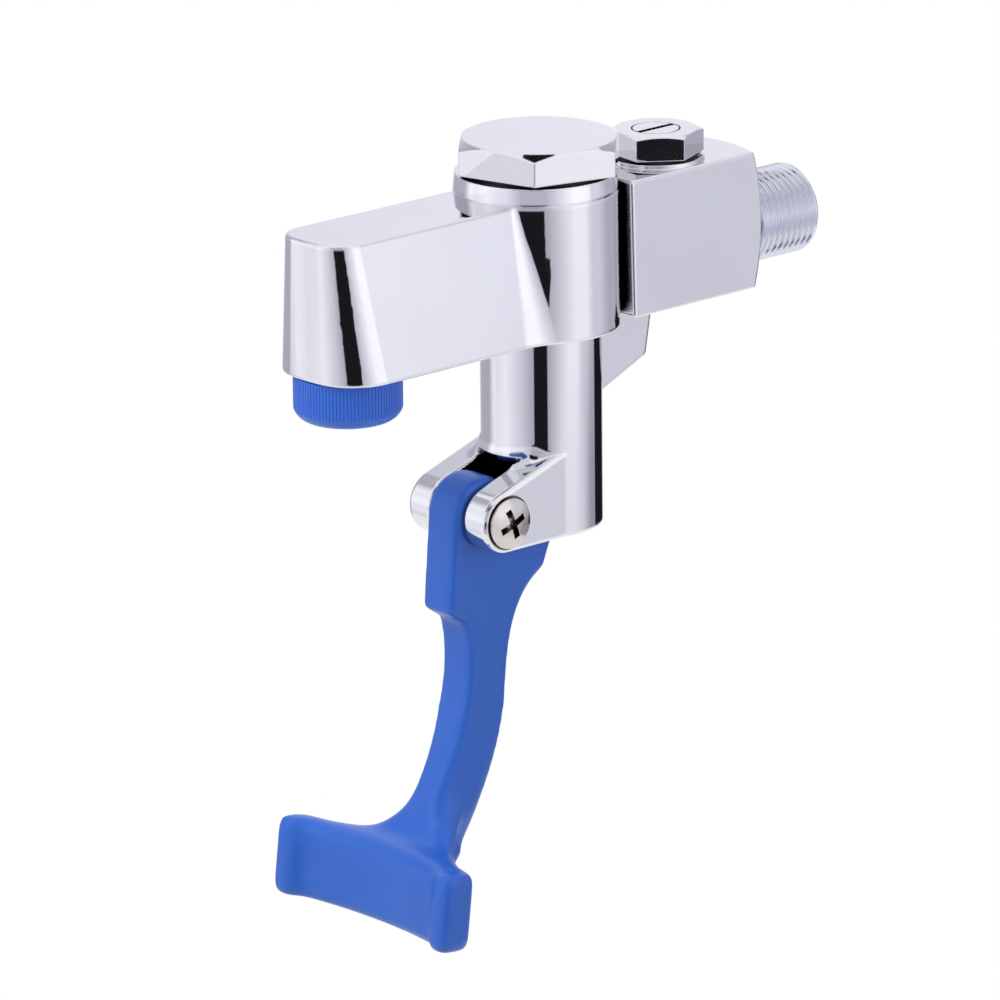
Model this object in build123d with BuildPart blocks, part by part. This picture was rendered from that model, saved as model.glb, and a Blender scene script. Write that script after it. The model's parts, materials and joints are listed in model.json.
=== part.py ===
from build123d import *
from math import atan2, cos, floor, pi, radians, sin, sqrt, tan
import os

os.makedirs("parts", exist_ok=True)

# Push-back glass filler in millimetres, +Z up, spout towards -Y
# Origin: inlet thread axis, where it leaves the rear face of the body

# Inlet: half inch pipe thread
inlet_thread_radius = 10.48
inlet_thread_pitch = 1.814
inlet_thread_depth = 0.95
inlet_thread_crest = 0.45
inlet_thread_flank = 0.49
inlet_thread_start = 0.5
inlet_projection = 18.3
inlet_shoulder_depth = 2.2
inlet_bore_radius = 7.0
inlet_end_chamfer = 1.2
nipple_tail_radius = 9.4
nipple_tail_length = 10.5
nipple_ring_section = 0.8
nipple_ring_setback = 2.0

# Body casting
body_top = 19.2
body_bottom = -12.8
valve_setback = 60.0
boss_forward = 1.25
boss_radius_top = 18.8
boss_radius_bottom = 19.1
collar_height = 3.9
collar_radius_top = 18.3
spout_nose_reach = 70.0
spout_nose_lean = -0.3
spout_half_width_top = 10.7
spout_half_width_bottom = 15.0
spout_nose_crown_top = 1.1
spout_nose_crown_bottom = 3.0
spout_corner_radius_top = 7.0
spout_corner_radius_bottom = 11.2
spout_blend_top = 3.0
spout_blend_bottom = 17.0
block_front = 17.1
block_half_width_top = 12.1
block_half_width_bottom = 12.9
block_crown_plan_radius = 30.0
block_crown_side_radius = 62.0
rib_half_width = 7.0
rib_rear_top = 28.6
rib_rear_bottom = 26.4
rib_corner_drop = 11.6
rib_slope = 23.5
rib_corner_radius = 2.0
rib_edge_radius = 1.2
casting_edge_radius = 0.7
bottom_edge_radius = 0.6
collar_edge_radius = 0.9

# Lower cylinder and clevis ears
pivot_drop = 52.8
pivot_reach = 22.0
stalk_radius = 13.9
stalk_edge_radius = 1.3
ear_radius = 7.2
ear_half_width = 13.2
ear_slope = 18.5
ear_root_radius = 3.5
slot_half_width = 5.7
slot_head_room = 1.6
spotface_radius = 6.6
spotface_depth = 0.5

# Water ways
bonnet_bore_radius = 13.6
bonnet_bore_depth = 15.5
chamber_radius = 12.0
seat_shelf = -5.8
seat_recess_depth = 5.0
lower_chamber_radius = 7.2
bush_bore_top = -25.0
channel_radius = 5.5
channel_end_radius = 3.9
channel_end_reach = 21.0
rib_channel_radius = 3.4
rib_channel_height = -19.8
spout_channel_radius = 5.8
spout_channel_height = 1.4
outlet_reach = 57.7
outlet_bore_radius = 8.0
outlet_bore_top = 6.0
outlet_spigot_radius = 10.2

# Bonnet cap
cap_across_flats = 35.2
cap_height = 7.0
cap_corner_turn = 15.0
cap_gasket_thickness = 0.8
cap_gasket_radius = 17.0
cap_chamfer_drop = 1.45
cap_spigot_length = 13.0
cap_pocket_radius = 9.2
cap_roof = 3.6
nut_crown_inset = 0.15

# Regulator
regulator_setback = 24.2
regulator_pad_radius = 11.15
regulator_pad_height = 0.9
regulator_pad_edge = 0.25
regulator_gasket_thickness = 0.6
regulator_gasket_radius = 9.3
regulator_nut_across_flats = 19.0
regulator_nut_height = 5.5
regulator_nut_turn = -6.5
regulator_nut_chamfer = 0.6
regulator_nut_relief = 0.35
regulator_nut_relief_depth = 1.0
regulator_thread_radius = 8.8
regulator_spigot_length = 9.0
regulator_plug_radius = 7.7
regulator_plug_foot = -8.2
regulator_stem_radius = 5.3
regulator_slot_width = 1.7
regulator_slot_depth = 1.6
regulator_ring_section = 0.8
regulator_ring_setback = 3.0

# Valve
stem_radius = 3.0
stem_top = 7.0
seat_radius = 9.0
seat_bore_radius = 5.0
seat_lip_width = 1.3
seat_lip_height = 1.2
seat_ring_section = 0.8
washer_radius = 7.4
washer_thickness = 3.0
holder_radius = 9.0
holder_thickness = 2.4
holder_skirt = 1.5
washer_nut_across_flats = 7.2
washer_nut_height = 2.6
spring_wire_radius = 0.7
spring_coil_radius = 6.6
spring_turns = 7
stem_collar_radius = 4.6
stem_collar_height = 1.6
bush_radius = 9.0
bush_length = 12.0
bush_ring_section = 0.9
stem_ring_section = 0.9
stem_ring_spacing = 5.0
circlip_thickness = 1.0
circlip_width = 1.7
circlip_groove_depth = 0.8
circlip_gap = 5.0
foot_radius = 4.6
foot_height = 6.0
foot_crown = 1.2
foot_socket_depth = 4.0

# Lever, measured from the pivot: reach to the rear, drop downwards
lever_half_width = 5.2
lever_head_radius = 8.8
lever_edge_radius = 1.4
heel_behind_axis = 3.0
heel_top = 3.0
heel_thickness = 5.0
heel_low_reach = 20.1
heel_low_drop = 11.5
heel_end_reach = 18.2
heel_end_drop = 16.3
throat_reach = 10.9
throat_drop = 23.0
neck_rear_reach = 6.6
neck_rear_drop = 39.5
bend_rear_reach = 5.2
bend_rear_drop = 52.0
slope_rear_reach = -3.0
slope_rear_drop = 72.5
tip_rear_reach = -14.6
tip_rear_drop = 88.0
head_front_reach = -10.6
head_front_drop = 21.5
step_reach = -5.9
step_drop = 24.6
neck_front_reach = -4.7
neck_front_drop = 32.9
bend_front_reach = -8.4
bend_front_drop = 51.3
slope_front_reach = -16.3
slope_front_drop = 66.3

# Push pad
pad_drop = 72.6
pad_lean = 7.0
pad_height = 18.6
pad_half_length = 30.0
pad_rim_thickness = 5.2
pad_saddle_half_width = 22.0
pad_rim_reach = -34.4
pad_saddle_edge_reach = -31.4
pad_saddle_reach = -29.0
pad_tip_reach = -26.2
pad_shoulder_half_width = 20.0
pad_shoulder_reach = -21.0
pad_root_half_width = 9.0
pad_root_reach = -15.0
pad_edge_radius = 2.0
flare_radius = 12.0
flare_sections = 7
flare_sink = 3.5
flare_top_inset = 3.0
flare_rear_reach = -5.5
flare_foot_reach = -20.0
flare_front_inset = 1.5
flare_width_inset = 0.5

# Pivot pin and its washers
pin_radius = 3.0
barrel_radius = 4.0
lever_bush_wall = 1.4
pin_head_radius = 5.85
pin_head_height = 2.3
pin_head_crown = 1.1
recess_turn = 22.0
recess_length = 7.2
recess_width = 1.6
recess_depth = 1.7
nut_head_height = 2.6
nut_head_edge = 1.2
lever_washer_radius = 6.4
pin_thread_length = 16.0

# Aerator
aerator_radius = 12.25
aerator_height = 10.6
aerator_rib_count = 96
aerator_rib_depth = 0.16
aerator_edge_radius = 4.0
aerator_mouth_radius = 8.6
aerator_lip = 1.6
aerator_top_edge = 0.7
aerator_gasket_thickness = 1.2
straightener_thickness = 1.9
straightener_hole_radius = 0.75
straightener_hole_pitch = 2.2
straightener_hole_rings = 3
screen_thickness = 0.3
screen_hole_radius = 0.5
screen_hole_pitch = 1.6
screen_hole_rings = 4

# Clearances
running_clearance = 0.05
seat_gap = 0.3
thread_clearance = 0.1

# Places worked out from the sizes above
valve_y = -valve_setback
boss_y = valve_y - boss_forward
pivot_y = valve_y - pivot_reach
pivot_z = -pivot_drop
nose_y = valve_y - spout_nose_reach
outlet_y = valve_y - outlet_reach
regulator_y = -regulator_setback
channel_end_y = valve_y + channel_end_reach
nipple_shoulder = -inlet_shoulder_depth
nipple_tail_end = nipple_shoulder - nipple_tail_length
nipple_ring_y = nipple_shoulder - nipple_ring_setback
inlet_root_radius = inlet_thread_radius - inlet_thread_depth
inlet_thread_end = inlet_projection - inlet_end_chamfer
inlet_thread_count = floor((inlet_thread_end - inlet_thread_start) / inlet_thread_pitch)
collar_top = body_top + collar_height
bonnet_bore_foot = collar_top - bonnet_bore_depth
cap_seat = collar_top + cap_gasket_thickness
cap_top = cap_seat + cap_height
cap_spigot_foot = cap_seat - cap_spigot_length
seat_foot = seat_shelf - seat_recess_depth
seat_ring_z = (seat_foot + seat_shelf) / 2
seat_ring_centre = seat_radius - seat_ring_section
seat_lip_top = seat_shelf + seat_lip_height
holder_foot = seat_lip_top + washer_thickness
holder_top = holder_foot + holder_thickness
spring_head = cap_top - cap_roof
spring_rise = spring_head - holder_top - 2 * spring_wire_radius
bush_foot = bush_bore_top - bush_length
bush_middle = bush_foot + bush_length / 2
bush_ring_centre = bush_radius - bush_ring_section
circlip_foot = bush_foot - circlip_thickness
circlip_outer_radius = bush_radius + circlip_groove_depth
stem_ring_heights = (bush_middle - stem_ring_spacing / 2, bush_middle + stem_ring_spacing / 2)
stem_ring_centre = stem_radius + stem_ring_section
foot_bottom = pivot_z + heel_top + seat_gap
foot_top = foot_bottom + foot_height
stem_foot_z = foot_top - foot_socket_depth
stalk_bottom = pivot_z - ear_radius
stalk_top = body_bottom + casting_edge_radius
slot_top = pivot_z + lever_head_radius + slot_head_room
ear_tip_y = pivot_y - ear_radius * sin(radians(ear_slope))
ear_tip_z = pivot_z + ear_radius * cos(radians(ear_slope))
ear_back_y = valve_y + stalk_radius + 2 * ear_root_radius
ear_back_z = ear_tip_z + (ear_back_y - ear_tip_y) * tan(radians(ear_slope))
spotface_x = ear_half_width - spotface_depth
rib_corner = (valve_y + rib_rear_bottom, body_bottom - rib_corner_drop)
rib_foot_z = rib_corner[1] - rib_rear_bottom * tan(radians(rib_slope))
block_middle = (body_top + body_bottom) / 2
barrel_y = -block_crown_plan_radius
barrel_half = body_top - body_bottom
barrel_sag = block_crown_side_radius - sqrt(block_crown_side_radius**2 - barrel_half**2)
barrel_edge = block_crown_plan_radius - barrel_sag
regulator_seat = body_top + regulator_pad_height
regulator_nut_seat = regulator_seat + regulator_gasket_thickness
regulator_top = regulator_nut_seat + regulator_nut_height
regulator_spigot_foot = regulator_nut_seat - regulator_spigot_length
regulator_shelf = regulator_spigot_foot - seat_gap
regulator_ring_z = regulator_spigot_foot + regulator_ring_setback
regulator_ring_centre = regulator_stem_radius - regulator_ring_section
lever_bush_radius = barrel_radius + running_clearance + lever_bush_wall
pad_top_z = pivot_z - pad_drop
screw_foot_x = spotface_x - pin_thread_length + seat_gap
screw_face = spotface_x + pin_head_height
nut_face = -spotface_x - nut_head_height
washer_inner = lever_half_width + running_clearance
washer_outer = slot_half_width
aerator_top = body_bottom - seat_gap
aerator_foot = aerator_top - aerator_height
straightener_foot = aerator_foot + aerator_lip
screen_foot = straightener_foot + straightener_thickness
aerator_gasket_foot = screen_foot + screen_thickness
spigot_foot = aerator_gasket_foot + aerator_gasket_thickness
aerator_bore_radius = outlet_spigot_radius + thread_clearance

FOOT = (Align.CENTER, Align.CENTER, Align.MIN)


def along_x(x, y, z):
    """Place on a line along X, facing +X."""
    return Location((x, y, z), (0, 90, 0))


def along_y(y, z):
    """Place on a line along Y, facing +Y."""
    return Location((0, y, z), (-90, 0, 0))


def upright_bar(radius, y, low, high, mode=Mode.ADD):
    """Cylinder standing on the axis at y, from low to high."""
    with Locations((0, y, low)):
        Cylinder(radius, high - low, align=FOOT, mode=mode)


def dome_drop(crown, rim_radius):
    """Drop of a ball-shaped dome half way out to its rim."""
    ball_radius = (rim_radius**2 + crown**2) / (2 * crown)
    return ball_radius - sqrt(ball_radius**2 - (rim_radius / 2) ** 2)


def rounded_disc(radii, y, low, high, edge_radius):
    """Turned disc on the axis at y, from its low to its high radius, the top edge rounded."""
    radius_low, radius_high = radii
    with BuildPart() as made:
        with BuildSketch(Plane.XZ.offset(-y)) as profile:
            Polygon((0, low), (radius_low, low), (radius_high, high), (0, high), align=None)
            fillet(profile.vertices().sort_by_distance((radius_high, y, high))[0], edge_radius)
        revolve(axis=Axis((0, y, 0), (0, 0, 1)))
    return made.part


def level_bore(radius, z, y_rear, y_front):
    """Bore along Y at height z, cut from the piece being made."""
    with Locations(along_y(y_front, z)):
        Cylinder(radius, y_rear - y_front, align=FOOT, mode=Mode.SUBTRACT)


def cross_bore(radius, y, z, low, high, mode=Mode.SUBTRACT):
    """Bore along X through (y, z), from low to high."""
    with Locations(along_x(low, y, z)):
        Cylinder(radius, high - low, align=FOOT, mode=mode)


def hexagon(across_flats, y, low, high, turn):
    """Hexagonal bar standing on the axis at y."""
    with BuildPart() as made:
        with BuildSketch(Plane.XY.offset(low)):
            with Locations((0, y)):
                RegularPolygon(across_flats / 2, 6, major_radius=False, rotation=turn)
        extrude(amount=high - low)
    return made.part


def crowned_hexagon(across_flats, y, low, top, turn, chamfer_drop):
    """Hexagonal bar on the axis at y, the corners of its top turned down."""
    corner = across_flats / 2 / cos(pi / 6)
    flat = across_flats / 2 - nut_crown_inset
    with BuildPart() as made:
        with BuildSketch(Plane.XZ.offset(-y)):
            with BuildLine():
                Polyline(
                    (0, top),
                    (flat, top),
                    (corner, top - chamfer_drop),
                    (corner, low),
                    (0, low),
                    close=True,
                )
            make_face()
        revolve(axis=Axis((0, y, 0), (0, 0, 1)))
        add(hexagon(across_flats, y, low, top, turn), mode=Mode.INTERSECT)
    return made.part


def level_ring(centre_radius, section, y, z):
    """O-ring lying level round the upright axis at y."""
    with BuildPart() as made:
        with Locations((0, y, z)):
            Torus(centre_radius, section)
    return made.part


def cut_ring_groove(centre_radius, section, y, z):
    """Square groove that an O-ring lies in, cut from the piece being made."""
    with BuildPart(mode=Mode.PRIVATE) as groove:
        with Locations((0, y, z)):
            Cylinder(centre_radius + section, 2 * section)
            Cylinder(centre_radius - section, 2 * section, mode=Mode.SUBTRACT)
    add(groove.part, mode=Mode.SUBTRACT)


def spout_plan(half_width, nose, crown, corner, blend, radius, inset, height):
    """Face of the spout and boss outline at one height, from tangent lines and arcs, drawn in by inset."""
    side = half_width - inset
    hollow = blend + inset
    round_boss = radius - inset
    centre_x = side + hollow
    reach = sqrt((round_boss + hollow) ** 2 - centre_x**2)
    centre_y = boss_y - reach
    share = round_boss / (round_boss + hollow)
    touch_x = centre_x * share
    touch_y = boss_y - reach * share
    middle_turn = (pi + atan2(reach, -centre_x)) / 2
    middle_x = centre_x + hollow * cos(middle_turn)
    middle_y = centre_y + hollow * sin(middle_turn)
    corner_y = nose + inset + crown
    with BuildSketch(Plane.XY.offset(height)) as plan:
        with BuildLine():
            ThreePointArc((-side, corner_y), (0, nose + inset), (side, corner_y))
            Line((side, corner_y), (side, centre_y))
            ThreePointArc((side, centre_y), (middle_x, middle_y), (touch_x, touch_y))
            ThreePointArc((touch_x, touch_y), (0, boss_y + round_boss), (-touch_x, touch_y))
            ThreePointArc((-touch_x, touch_y), (-middle_x, middle_y), (-side, centre_y))
            Line((-side, centre_y), (-side, corner_y))
        make_face()
        fillet(plan.vertices().sort_by(Axis.Y)[:2], corner - inset)
    return plan.sketch.face()


# Spout and boss: one smooth form, its top edge rounded by two narrow bands
spout_nose_top = (spout_half_width_top, nose_y, spout_nose_crown_top, spout_corner_radius_top)
spout_nose_bottom = (
    spout_half_width_bottom,
    nose_y + spout_nose_lean,
    spout_nose_crown_bottom,
    spout_corner_radius_bottom,
)
spout_top = (*spout_nose_top, spout_blend_top, boss_radius_top)
spout_bottom = (*spout_nose_bottom, spout_blend_bottom, boss_radius_bottom)
band = casting_edge_radius * (1 - sin(pi / 4))
spout_sections = [
    spout_plan(*spout_bottom, 0, body_bottom),
    spout_plan(*spout_top, 0, body_top - casting_edge_radius),
    spout_plan(*spout_top, band, body_top - band),
    spout_plan(*spout_top, casting_edge_radius, body_top),
]
with BuildPart() as spout_form:
    add(Solid.make_loft([section.outer_wire() for section in spout_sections], ruled=True))
    fillet(spout_form.edges().filter_by_position(Axis.Z, body_bottom, body_bottom), bottom_edge_radius)

# Rear block: wider at its bottom, its rear face crowned both ways
with BuildPart() as block_form:
    for height, half_width in ((body_bottom, block_half_width_bottom), (body_top, block_half_width_top)):
        with BuildSketch(Plane.XY.offset(height)):
            with Locations((0, valve_y + block_front)):
                Rectangle(2 * half_width, valve_setback, align=(Align.CENTER, Align.MIN))
    loft(ruled=True)
    with BuildSketch(Plane.XZ.offset(-barrel_y)):
        with BuildLine():
            ThreePointArc(
                (barrel_edge, block_middle - barrel_half),
                (block_crown_plan_radius, block_middle),
                (barrel_edge, block_middle + barrel_half),
            )
            Polyline(
                (barrel_edge, block_middle + barrel_half),
                (0, block_middle + barrel_half),
                (0, block_middle - barrel_half),
                (barrel_edge, block_middle - barrel_half),
            )
        make_face()
    revolve(axis=Axis((0, barrel_y, 0), (0, 0, 1)), mode=Mode.INTERSECT)
    fillet(block_form.edges(), casting_edge_radius)

# Ears: a wide plate round the pivot, rounded into the stalk, then cut to the ears' width
with BuildPart() as ear_form:
    with BuildSketch(Plane.YZ):
        with BuildLine():
            ThreePointArc((pivot_y, stalk_bottom), (pivot_y - ear_radius, pivot_z), (ear_tip_y, ear_tip_z))
            Polyline(
                (ear_tip_y, ear_tip_z),
                (ear_back_y, ear_back_z),
                (ear_back_y, stalk_bottom),
                (pivot_y, stalk_bottom),
            )
        make_face()
    extrude(amount=stalk_radius + 2 * ear_root_radius, both=True)
    upright_bar(stalk_radius, valve_y, stalk_bottom, stalk_top)
    fillet(ear_form.edges().filter_by(GeomType.ELLIPSE), ear_root_radius)
    with Locations((0, valve_y, stalk_bottom)):
        Box(
            2 * ear_half_width,
            2 * pivot_reach,
            stalk_top - stalk_bottom,
            align=(Align.CENTER, Align.MAX, Align.MIN),
            mode=Mode.INTERSECT,
        )

# Stalk with the ears grown out of it
with BuildPart() as stalk_form:
    upright_bar(stalk_radius, valve_y, stalk_bottom, stalk_top)
    fillet(stalk_form.edges().filter_by_position(Axis.Z, stalk_bottom, stalk_bottom), stalk_edge_radius)
    add(ear_form.part)

# Rib that carries the water way down from the block to the stalk
with BuildPart() as rib_form:
    with BuildSketch(Plane.YZ) as rib_side:
        Polygon(
            (valve_y, stalk_top),
            (valve_y + rib_rear_top, stalk_top),
            rib_corner,
            (valve_y, rib_foot_z),
            align=None,
        )
        rear_corner = rib_side.vertices().sort_by_distance((0, *rib_corner))[0]
        fillet(rear_corner, rib_corner_radius)
    extrude(amount=rib_half_width, both=True)
    fillet(rib_form.edges().filter_by(Plane.YZ), rib_edge_radius)

# Tapered collar under the cap, and the round pad under the regulator nut
collar_foot = body_top - casting_edge_radius
collar_radii = (boss_radius_top, collar_radius_top)
collar_form = rounded_disc(collar_radii, boss_y, collar_foot, collar_top, collar_edge_radius)
round_pad_radii = (regulator_pad_radius, regulator_pad_radius)
round_pad_form = rounded_disc(round_pad_radii, regulator_y, collar_foot, regulator_seat, regulator_pad_edge)

# Body casting: the forms above in one, then its water ways and bores
with BuildPart() as body_casting:
    add(spout_form.part)
    add(block_form.part)
    add(stalk_form.part)
    add(rib_form.part)
    add(collar_form)
    add(round_pad_form)
    upright_bar(outlet_spigot_radius, outlet_y, spigot_foot, body_bottom)
    # valve way, from the bonnet down to the lever pocket
    upright_bar(bonnet_bore_radius, valve_y, bonnet_bore_foot, collar_top, Mode.SUBTRACT)
    upright_bar(chamber_radius, valve_y, seat_shelf, bonnet_bore_foot, Mode.SUBTRACT)
    upright_bar(seat_radius, valve_y, seat_foot, seat_shelf, Mode.SUBTRACT)
    upright_bar(lower_chamber_radius, valve_y, bush_bore_top, seat_foot, Mode.SUBTRACT)
    upright_bar(bush_radius, valve_y, stalk_bottom, bush_bore_top, Mode.SUBTRACT)
    upright_bar(circlip_outer_radius, valve_y, circlip_foot, bush_foot, Mode.SUBTRACT)
    # lever slot, pivot bore and the spotfaces for the pin heads
    with Locations((0, valve_y, stalk_bottom)):
        Box(
            2 * slot_half_width,
            2 * pivot_reach,
            slot_top - stalk_bottom,
            align=(Align.CENTER, Align.MAX, Align.MIN),
            mode=Mode.SUBTRACT,
        )
    cross_bore(barrel_radius, pivot_y, pivot_z, -ear_half_width, ear_half_width)
    cross_bore(spotface_radius, pivot_y, pivot_z, spotface_x, ear_half_width)
    cross_bore(spotface_radius, pivot_y, pivot_z, -ear_half_width, -spotface_x)
    # inlet, regulator and the way down the rib
    level_bore(inlet_root_radius + thread_clearance, 0, 0, nipple_shoulder)
    level_bore(nipple_tail_radius, 0, nipple_shoulder, nipple_tail_end)
    level_bore(channel_radius, 0, nipple_tail_end, channel_end_y)
    regulator_cavity = regulator_plug_radius + running_clearance
    cavity_foot = regulator_plug_foot - running_clearance
    upright_bar(regulator_cavity, regulator_y, cavity_foot, regulator_shelf, Mode.SUBTRACT)
    upright_bar(regulator_thread_radius, regulator_y, regulator_shelf, regulator_seat, Mode.SUBTRACT)
    upright_bar(channel_end_radius, channel_end_y, rib_channel_height, 0, Mode.SUBTRACT)
    level_bore(rib_channel_radius, rib_channel_height, channel_end_y, valve_y)
    # spout way and outlet
    level_bore(spout_channel_radius, spout_channel_height, valve_y - stem_radius, outlet_y)
    upright_bar(outlet_bore_radius, outlet_y, spigot_foot, outlet_bore_top, Mode.SUBTRACT)
body_casting.part.label = "body_casting"
export_step(body_casting.part, "parts/body_casting.step")

# Bonnet cap: hexagon head, threaded spigot, pocket for the spring
with BuildPart() as bonnet_cap:
    add(crowned_hexagon(cap_across_flats, valve_y, cap_seat, cap_top, cap_corner_turn, cap_chamfer_drop))
    upright_bar(bonnet_bore_radius - thread_clearance, valve_y, cap_spigot_foot, cap_seat)
    upright_bar(cap_pocket_radius, valve_y, cap_spigot_foot, spring_head, Mode.SUBTRACT)
bonnet_cap.part.label = "bonnet_cap"
export_step(bonnet_cap.part, "parts/bonnet_cap.step")

# Bonnet gasket under the cap
with BuildPart() as bonnet_gasket:
    upright_bar(cap_gasket_radius, valve_y, collar_top, cap_seat)
    upright_bar(bonnet_bore_radius, valve_y, collar_top, cap_seat, Mode.SUBTRACT)
bonnet_gasket.part.label = "bonnet_gasket"
export_step(bonnet_gasket.part, "parts/bonnet_gasket.step")

# Regulator nut: small hexagon with a threaded spigot
with BuildPart() as regulator_nut:
    nut_flats, nut_turn, nut_chamfer = regulator_nut_across_flats, regulator_nut_turn, regulator_nut_chamfer
    add(crowned_hexagon(nut_flats, regulator_y, regulator_nut_seat, regulator_top, nut_turn, nut_chamfer))
    spigot_radius = regulator_thread_radius - thread_clearance
    spigot_bore = regulator_stem_radius + running_clearance
    upright_bar(spigot_radius, regulator_y, regulator_spigot_foot, regulator_nut_seat)
    upright_bar(spigot_bore, regulator_y, regulator_spigot_foot, regulator_top, Mode.SUBTRACT)
    relief_foot = regulator_top - regulator_nut_relief_depth
    upright_bar(spigot_bore + regulator_nut_relief, regulator_y, relief_foot, regulator_top, Mode.SUBTRACT)
regulator_nut.part.label = "regulator_nut"
export_step(regulator_nut.part, "parts/regulator_nut.step")

# Regulator gasket under the small nut
with BuildPart() as regulator_gasket:
    upright_bar(regulator_gasket_radius, regulator_y, regulator_seat, regulator_nut_seat)
    upright_bar(regulator_thread_radius, regulator_y, regulator_seat, regulator_nut_seat, Mode.SUBTRACT)
regulator_gasket.part.label = "regulator_gasket"
export_step(regulator_gasket.part, "parts/regulator_gasket.step")

# Regulator plug: turns a quarter turn to shut its cross bore, screwdriver slot on top
with BuildPart() as regulator_plug:
    upright_bar(regulator_plug_radius, regulator_y, regulator_plug_foot, regulator_shelf)
    upright_bar(regulator_stem_radius, regulator_y, regulator_shelf, regulator_top)
    level_bore(channel_radius, 0, regulator_y + regulator_plug_radius, regulator_y - regulator_plug_radius)
    with Locations((0, regulator_y, regulator_top)):
        Box(
            regulator_slot_width,
            2 * regulator_stem_radius,
            regulator_slot_depth,
            align=(Align.CENTER, Align.CENTER, Align.MAX),
            mode=Mode.SUBTRACT,
        )
    cut_ring_groove(regulator_ring_centre, regulator_ring_section, regulator_y, regulator_ring_z)
regulator_plug.part.label = "regulator_plug"
export_step(regulator_plug.part, "parts/regulator_plug.step")

# O-ring in the groove of the plug's stem
regulator_ring = level_ring(regulator_ring_centre, regulator_ring_section, regulator_y, regulator_ring_z)
regulator_ring.label = "regulator_ring"
export_step(regulator_ring, "parts/regulator_ring.step")

# Inlet nipple: pipe thread drawn as rings, land and tail in the body
with BuildPart() as inlet_nipple:
    with BuildSketch(Plane.XY):
        with BuildLine():
            groove_start = nipple_ring_y - nipple_ring_section
            groove_end = nipple_ring_y + nipple_ring_section
            groove_floor = nipple_tail_radius - 2 * nipple_ring_section
            nipple_line = [(inlet_bore_radius, nipple_tail_end), (nipple_tail_radius, nipple_tail_end)]
            nipple_line += [(nipple_tail_radius, groove_start), (groove_floor, groove_start)]
            nipple_line += [(groove_floor, groove_end), (nipple_tail_radius, groove_end)]
            nipple_line += [(nipple_tail_radius, nipple_shoulder), (inlet_root_radius, nipple_shoulder)]
            nipple_line += [(inlet_root_radius, 0), (inlet_thread_radius, 0)]
            for turn in range(inlet_thread_count):
                root_start = inlet_thread_start + turn * inlet_thread_pitch + inlet_thread_flank
                root_end = root_start + inlet_thread_pitch - inlet_thread_crest - 2 * inlet_thread_flank
                nipple_line.append((inlet_thread_radius, root_start - inlet_thread_flank))
                nipple_line.append((inlet_root_radius, root_start))
                nipple_line.append((inlet_root_radius, root_end))
                nipple_line.append((inlet_thread_radius, root_end + inlet_thread_flank))
            nipple_line.append((inlet_thread_radius, inlet_thread_end))
            nipple_line.append((inlet_thread_radius - inlet_end_chamfer, inlet_projection))
            nipple_line.append((inlet_bore_radius, inlet_projection))
            Polyline(*nipple_line, close=True)
        make_face()
    revolve(axis=Axis.Y)
inlet_nipple.part.label = "inlet_nipple"
export_step(inlet_nipple.part, "parts/inlet_nipple.step")

# O-ring on the nipple's tail
with BuildPart() as nipple_ring:
    with Locations(along_y(nipple_ring_y, 0)):
        Torus(nipple_tail_radius - nipple_ring_section, nipple_ring_section)
nipple_ring.part.label = "nipple_ring"
export_step(nipple_ring.part, "parts/nipple_ring.step")

# Seat insert: pressed ring with a raised lip for the washer
with BuildPart() as seat_insert:
    upright_bar(seat_radius, valve_y, seat_foot, seat_shelf)
    upright_bar(seat_bore_radius + seat_lip_width, valve_y, seat_shelf, seat_lip_top)
    upright_bar(seat_bore_radius, valve_y, seat_foot, seat_lip_top, Mode.SUBTRACT)
    cut_ring_groove(seat_ring_centre, seat_ring_section, valve_y, seat_ring_z)
seat_insert.part.label = "seat_insert"
export_step(seat_insert.part, "parts/seat_insert.step")

# O-ring round the seat insert
seat_ring = level_ring(seat_ring_centre, seat_ring_section, valve_y, seat_ring_z)
seat_ring.label = "seat_ring"
export_step(seat_ring, "parts/seat_ring.step")

# Valve stem with the collar that the spring presses through the holder
with BuildPart() as valve_stem:
    upright_bar(stem_radius, valve_y, stem_foot_z, stem_top)
    upright_bar(stem_collar_radius, valve_y, holder_top, holder_top + stem_collar_height)
valve_stem.part.label = "valve_stem"
export_step(valve_stem.part, "parts/valve_stem.step")

# Seat washer, its holder above and its nut below
with BuildPart() as seat_washer:
    upright_bar(washer_radius, valve_y, seat_lip_top, holder_foot)
    upright_bar(stem_radius, valve_y, seat_lip_top, holder_foot, Mode.SUBTRACT)
seat_washer.part.label = "seat_washer"
export_step(seat_washer.part, "parts/seat_washer.step")

with BuildPart() as washer_holder:
    upright_bar(holder_radius, valve_y, holder_foot - holder_skirt, holder_top)
    upright_bar(washer_radius, valve_y, holder_foot - holder_skirt, holder_foot, Mode.SUBTRACT)
    upright_bar(stem_radius, valve_y, holder_foot, holder_top, Mode.SUBTRACT)
washer_holder.part.label = "washer_holder"
export_step(washer_holder.part, "parts/washer_holder.step")

with BuildPart() as washer_nut:
    add(hexagon(washer_nut_across_flats, valve_y, seat_lip_top - washer_nut_height, seat_lip_top, 0))
    upright_bar(stem_radius, valve_y, seat_lip_top - washer_nut_height, seat_lip_top, Mode.SUBTRACT)
washer_nut.part.label = "washer_nut"
export_step(washer_nut.part, "parts/washer_nut.step")

# Return spring between the holder and the roof of the cap's pocket
with BuildPart() as return_spring:
    with BuildLine() as coil:
        coil_foot = (0, valve_y, holder_top + spring_wire_radius)
        Helix(spring_rise / spring_turns, spring_rise, spring_coil_radius, center=coil_foot)
    with BuildSketch(Plane(origin=coil.line @ 0, z_dir=coil.line % 0)):
        Circle(spring_wire_radius)
    sweep(is_frenet=True)
return_spring.part.label = "return_spring"
export_step(return_spring.part, "parts/return_spring.step")

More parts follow.
